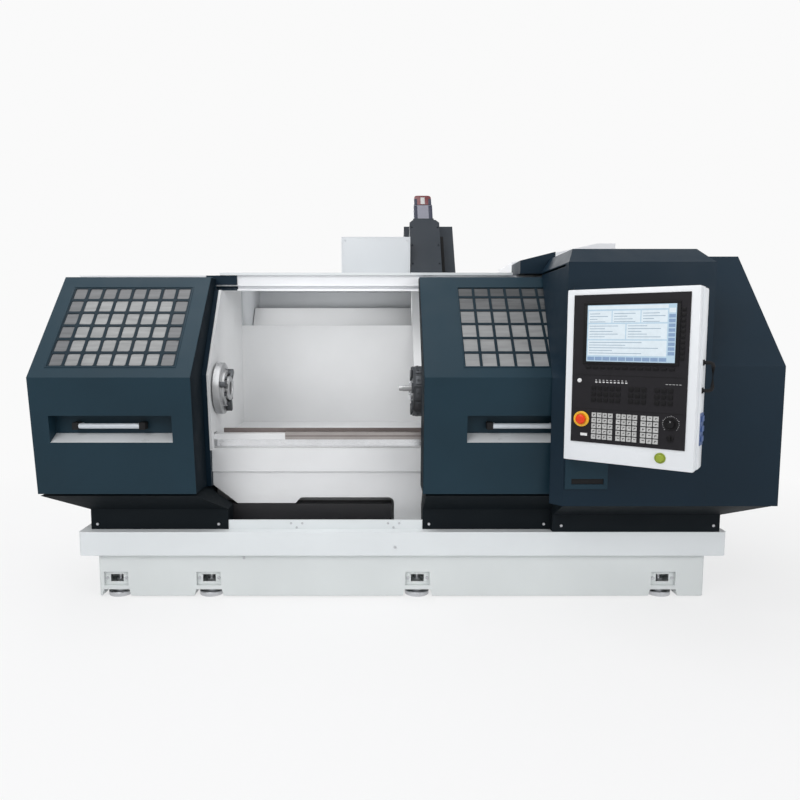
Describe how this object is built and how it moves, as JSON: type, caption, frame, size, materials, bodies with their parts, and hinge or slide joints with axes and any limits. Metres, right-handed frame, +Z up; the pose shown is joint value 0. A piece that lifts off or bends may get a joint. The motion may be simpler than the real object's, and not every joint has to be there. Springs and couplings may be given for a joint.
{
  "type": "slant bed lathe",
  "caption": "Slant bed turning machine with a faceted enclosure, sliding windowed front doors, chucking spindle, inclined turret slide and a swivelling control panel.",
  "frame": {"origin": "on the floor, in the middle of the machine's footprint", "axes": "+X along the spindle, to the right as the operator sees it; +Y away from the operator; +Z up"},
  "size_m": [3.25, 1.9928, 2.0809],
  "materials": {
    "cover_navy": "satin",
    "shell_white": "satin",
    "dark_grey": "satin",
    "casting": "satin",
    "black_rail": "satin",
    "stainless": "satin",
    "bright_steel": "polished",
    "tool_steel": "satin",
    "window": "gloss",
    "grille": "satin",
    "rubber_black": "matte",
    "screen": "gloss",
    "keys": "matte",
    "stop_red": "gloss",
    "stop_yellow": "gloss",
    "face_dark": "matte",
    "panel_white": "satin",
    "motor_red": "matte",
    "motor_grey": "satin"
  },
  "bodies": {
    "machine": {"levelling_feet": "bright_steel", "base_frame": "shell_white", "chip_pan": "shell_white", "bed": "casting", "apron": "shell_white", "work_floor": "stainless", "way_cover_black": "black_rail", "way_cover_bright": "stainless", "left_wall": "shell_white", "right_wall": "shell_white", "back_wall": "shell_white", "headstock_cover": "dark_grey", "right_guard": "dark_grey", "top_rail": "shell_white", "front_roof": "shell_white", "header_plate": "dark_grey", "left_skirt": "dark_grey", "right_skirt": "dark_grey", "cabinet_skirt": "dark_grey", "front_sill": "shell_white", "chip_conveyor": "black_rail", "rear_left_housing": "shell_white", "rear_right_housing": "shell_white", "rear_panel": "shell_white", "control_cabinet": "dark_grey", "end_cover": "dark_grey", "cabinet_hood": "dark_grey", "cabinet_low_panel": "dark_grey", "rear_top_box": "shell_white", "rear_roof": "shell_white", "panel_arms": "dark_grey"},
    "left_door": {"left_door": "cover_navy", "left_door_grille": "grille", "left_door_pane": "window", "left_door_handle": "panel_white", "left_door_lip": "stainless"},
    "right_door": {"right_door": "cover_navy", "right_door_grille": "grille", "right_door_pane": "window", "right_door_handle": "panel_white", "right_door_lip": "stainless"},
    "spindle": {"spindle": "bright_steel"},
    "carriage": {"saddle": "dark_grey", "slide_column": "dark_grey", "slide_motor": "motor_grey", "motor_cap": "motor_red", "side_box": "shell_white"},
    "cross_slide": {"slide_ram": "tool_steel", "turret_head": "shell_white"},
    "turret": {"turret_disc": "bright_steel", "tool_holders": "tool_steel"},
    "control_panel": {"panel_case": "panel_white", "panel_face": "face_dark", "panel_screen": "screen", "panel_keys": "keys", "stop_collar": "stop_yellow", "stop_head": "stop_red", "panel_handle": "rubber_black"}
  },
  "joints": [
    {"name": "left_door_slide", "type": "slide", "parent": "machine", "child": "left_door", "axis": [1, 0, 0], "range_m": [0, 0.502]},
    {"name": "right_door_slide", "type": "slide", "parent": "machine", "child": "right_door", "axis": [1, 0, 0], "range_m": [-0.502, 0]},
    {"name": "spindle_turn", "type": "hinge", "parent": "machine", "child": "spindle", "pos_m": [-0.84, -0.225, 0.966], "axis": [1, 0, 0], "continuous": true},
    {"name": "carriage_slide", "type": "slide", "parent": "machine", "child": "carriage", "axis": [1, 0, 0], "range_m": [-0.7, 0.15]},
    {"name": "cross_slide", "type": "slide", "parent": "carriage", "child": "cross_slide", "axis": [0, 0.5736, 0.8192], "range_m": [-0.015, 0.18]},
    {"name": "turret_index", "type": "hinge", "parent": "cross_slide", "child": "turret", "pos_m": [0.1, -0.13, 0.944], "axis": [1, 0, 0], "continuous": true},
    {"name": "control_panel_swing", "type": "hinge", "parent": "machine", "child": "control_panel", "pos_m": [0.725, -0.656, 1.056], "axis": [0, 0, 1], "range_deg": [-55, 34]}
  ]
}
